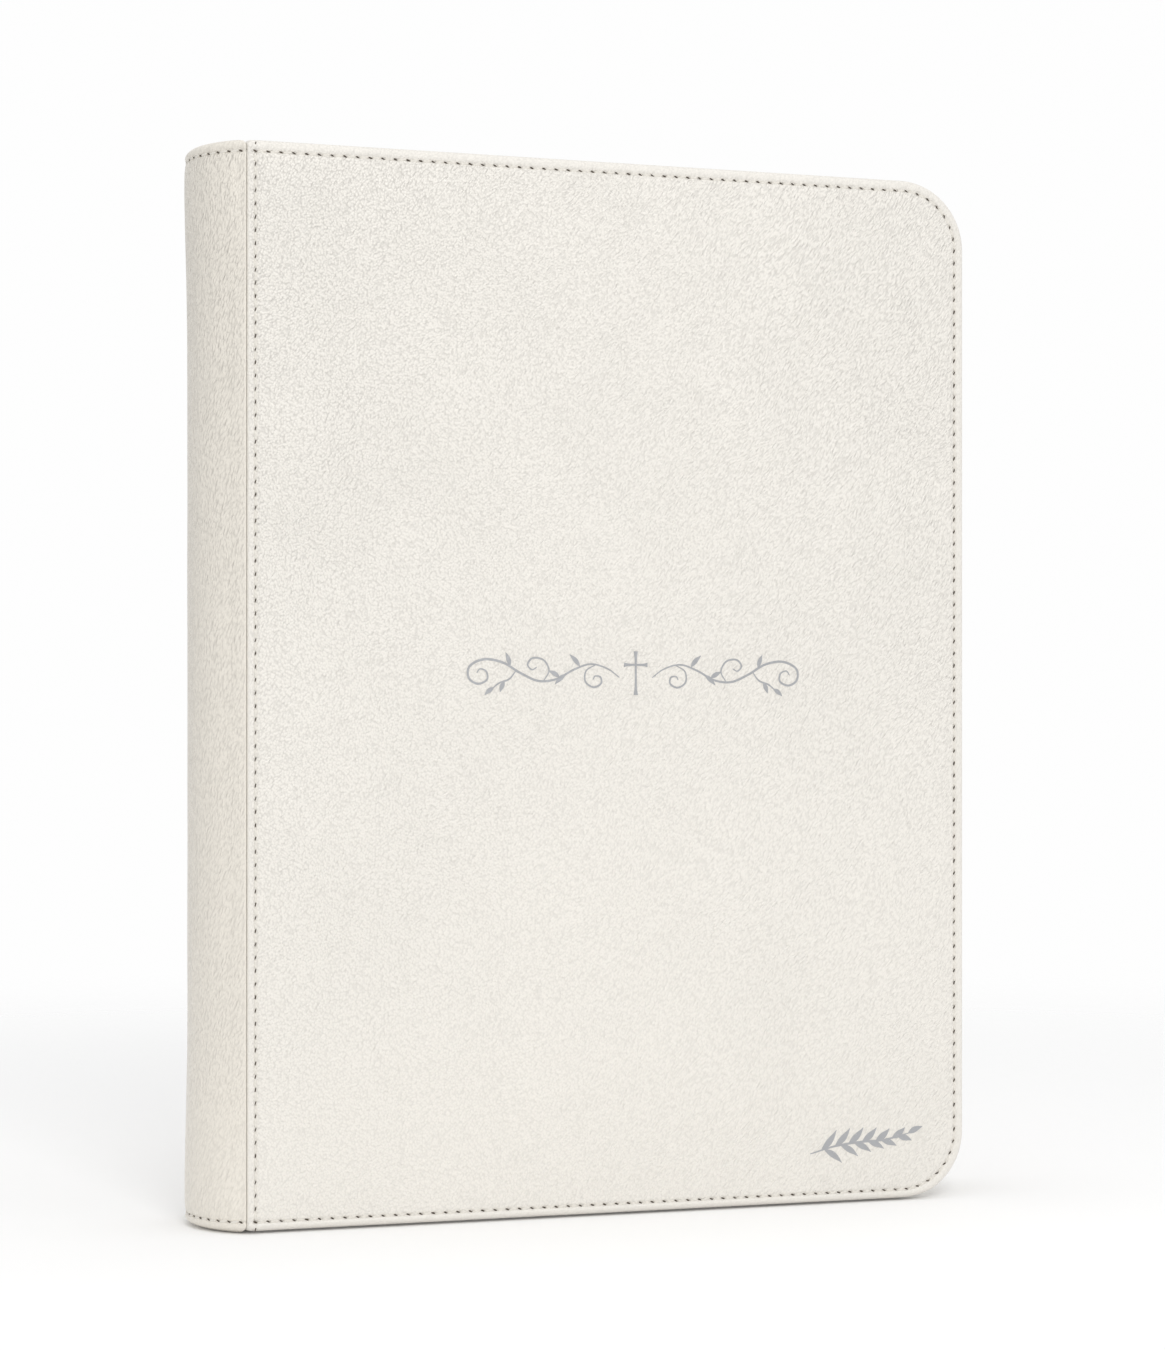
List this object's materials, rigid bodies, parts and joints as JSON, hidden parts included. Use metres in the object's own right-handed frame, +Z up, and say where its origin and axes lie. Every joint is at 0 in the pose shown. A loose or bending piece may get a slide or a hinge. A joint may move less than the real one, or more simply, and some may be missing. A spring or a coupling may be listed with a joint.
{
  "type": "prayer book",
  "caption": "Closed upright book in a padded, stitched ivory leatherette case with a rounded spine, hinged covers and a sewn block of leaves.",
  "frame": {"origin": "under the middle of the closed book, on the plane it stands on", "axes": "+Z up along the spine, -Y out of the front cover, -X towards the spine"},
  "size_m": [0.2024, 0.037, 0.266],
  "materials": {
    "ivory_leather": "pebbled, satin",
    "foam": "matte",
    "board": "matte",
    "lining": "smooth, matte",
    "endpaper": "laid, matte",
    "paper": "matte",
    "gauze": "open weave",
    "thread": "twisted, satin",
    "band_silk": "silk, satin"
  },
  "bodies": {
    "spine": {"spine_leather": "ivory_leather", "spine_card": "board", "spine_lining": "lining", "spine_head_thread": "thread", "spine_tail_thread": "thread", "block_gauze": "gauze", "block_back_paper": "endpaper", "head_band": "band_silk", "tail_band": "band_silk"},
    "front_cover": {"front_cover_leather": "ivory_leather", "front_cover_padding": "foam", "front_cover_board": "board", "front_cover_lining": "lining", "front_pastedown": "endpaper", "front_edge_thread": "thread", "front_lap_thread": "thread"},
    "back_cover": {"back_cover_leather": "ivory_leather", "back_cover_padding": "foam", "back_cover_board": "board", "back_cover_lining": "lining", "back_pastedown": "endpaper", "back_edge_thread": "thread", "back_lap_thread": "thread"},
    "section_01": {"section_01": "paper"},
    "section_02": {"section_02": "paper"},
    "section_03": {"section_03": "paper"},
    "section_04": {"section_04": "paper"},
    "section_05": {"section_05": "paper"},
    "section_06": {"section_06": "paper"},
    "section_07": {"section_07": "paper"},
    "section_08": {"section_08": "paper"},
    "section_09": {"section_09": "paper"},
    "section_10": {"section_10": "paper"},
    "section_11": {"section_11": "paper"},
    "section_12": {"section_12": "paper"},
    "front_flyleaf": {"front_flyleaf": "endpaper"},
    "back_flyleaf": {"back_flyleaf": "endpaper"}
  },
  "joints": [
    {"name": "front_cover_hinge", "type": "hinge", "parent": "spine", "child": "front_cover", "pos_m": [-0.09, -0.0187, 0.133], "axis": [0, 0, -1], "range_deg": [0, 180]},
    {"name": "back_cover_hinge", "type": "hinge", "parent": "spine", "child": "back_cover", "pos_m": [-0.09, 0.0187, 0.133], "axis": [0, 0, 1], "range_deg": [0, 180]},
    {"name": "section_01_fold", "type": "hinge", "parent": "spine", "child": "section_01", "pos_m": [-0.089, -0.0114, 0.133], "axis": [0, 0, -1], "range_deg": [0, 72]},
    {"name": "section_02_fold", "type": "hinge", "parent": "spine", "child": "section_02", "pos_m": [-0.08952, -0.00948, 0.133], "axis": [0, 0, -1], "range_deg": [0, 60]},
    {"name": "section_03_fold", "type": "hinge", "parent": "spine", "child": "section_03", "pos_m": [-0.08994, -0.00755, 0.133], "axis": [0, 0, -1], "range_deg": [0, 48]},
    {"name": "section_04_fold", "type": "hinge", "parent": "spine", "child": "section_04", "pos_m": [-0.09026, -0.00562, 0.133], "axis": [0, 0, -1], "range_deg": [0, 36]},
    {"name": "section_05_fold", "type": "hinge", "parent": "spine", "child": "section_05", "pos_m": [-0.09049, -0.0037, 0.133], "axis": [0, 0, -1], "range_deg": [0, 24]},
    {"name": "section_06_fold", "type": "hinge", "parent": "spine", "child": "section_06", "pos_m": [-0.09062, -0.00178, 0.133], "axis": [0, 0, -1], "range_deg": [0, 12]},
    {"name": "section_07_fold", "type": "hinge", "parent": "spine", "child": "section_07", "pos_m": [-0.09062, 0.00178, 0.133], "axis": [0, 0, 1], "range_deg": [0, 12]},
    {"name": "section_08_fold", "type": "hinge", "parent": "spine", "child": "section_08", "pos_m": [-0.09049, 0.0037, 0.133], "axis": [0, 0, 1], "range_deg": [0, 24]},
    {"name": "section_09_fold", "type": "hinge", "parent": "spine", "child": "section_09", "pos_m": [-0.09026, 0.00562, 0.133], "axis": [0, 0, 1], "range_deg": [0, 36]},
    {"name": "section_10_fold", "type": "hinge", "parent": "spine", "child": "section_10", "pos_m": [-0.08994, 0.00755, 0.133], "axis": [0, 0, 1], "range_deg": [0, 48]},
    {"name": "section_11_fold", "type": "hinge", "parent": "spine", "child": "section_11", "pos_m": [-0.08952, 0.00948, 0.133], "axis": [0, 0, 1], "range_deg": [0, 60]},
    {"name": "section_12_fold", "type": "hinge", "parent": "spine", "child": "section_12", "pos_m": [-0.089, 0.0114, 0.133], "axis": [0, 0, 1], "range_deg": [0, 72]},
    {"name": "front_flyleaf_fold", "type": "hinge", "parent": "section_01", "child": "front_flyleaf", "pos_m": [-0.084, -0.012, 0.133], "axis": [0, 0, -1], "range_deg": [0, 30]},
    {"name": "back_flyleaf_fold", "type": "hinge", "parent": "section_12", "child": "back_flyleaf", "pos_m": [-0.084, 0.012, 0.133], "axis": [0, 0, 1], "range_deg": [0, 30]}
  ],
  "couplings": [
    {"joint": "section_01_fold", "follows": "front_cover_hinge", "ratio": 0.4},
    {"joint": "section_02_fold", "follows": "front_cover_hinge", "ratio": 0.33333},
    {"joint": "section_03_fold", "follows": "front_cover_hinge", "ratio": 0.26667},
    {"joint": "section_04_fold", "follows": "front_cover_hinge", "ratio": 0.2},
    {"joint": "section_05_fold", "follows": "front_cover_hinge", "ratio": 0.13333},
    {"joint": "section_06_fold", "follows": "front_cover_hinge", "ratio": 0.066667},
    {"joint": "section_07_fold", "follows": "back_cover_hinge", "ratio": 0.066667},
    {"joint": "section_08_fold", "follows": "back_cover_hinge", "ratio": 0.13333},
    {"joint": "section_09_fold", "follows": "back_cover_hinge", "ratio": 0.2},
    {"joint": "section_10_fold", "follows": "back_cover_hinge", "ratio": 0.26667},
    {"joint": "section_11_fold", "follows": "back_cover_hinge", "ratio": 0.33333},
    {"joint": "section_12_fold", "follows": "back_cover_hinge", "ratio": 0.4},
    {"joint": "front_flyleaf_fold", "follows": "front_cover_hinge", "ratio": 0.16667},
    {"joint": "back_flyleaf_fold", "follows": "back_cover_hinge", "ratio": 0.16667}
  ]
}
